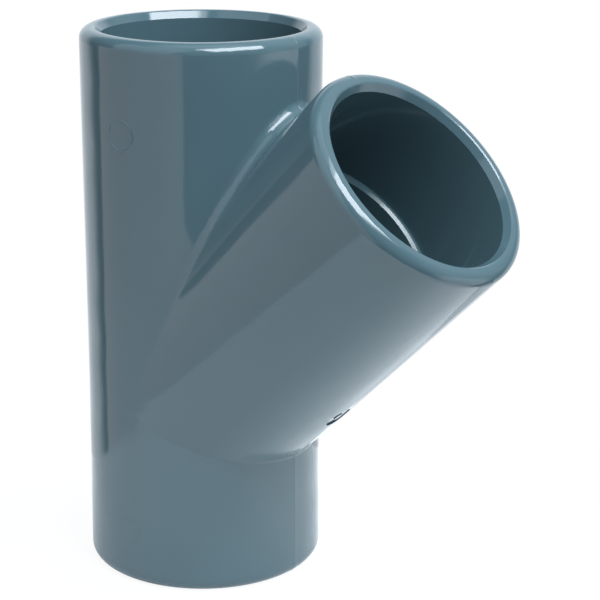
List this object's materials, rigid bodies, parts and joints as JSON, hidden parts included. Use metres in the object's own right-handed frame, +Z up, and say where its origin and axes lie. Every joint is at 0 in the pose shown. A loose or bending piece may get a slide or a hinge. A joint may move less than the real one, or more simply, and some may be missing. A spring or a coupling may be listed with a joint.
{
  "type": "lateral wye fitting",
  "caption": "Moulded plastic pipe wye: a straight run with a branch leaving at 45 degrees and a plain socket at each end for gluing onto pipe.",
  "frame": {"origin": "centre of the lower socket's stop, on the run's axis, where the end of the pipe seats", "axes": "+Z up the straight run, from the lower socket to the upper one; +X to the side that the branch leaves on, so the branch points along +X and +Z; the XZ plane is the fitting's plane of symmetry"},
  "size_m": [0.1475, 0.076, 0.1755],
  "materials": {
    "moulding": "glossy blue-grey moulded rigid vinyl"
  },
  "bodies": {
    "root": {"wye_body": "moulding"}
  },
  "joints": []
}
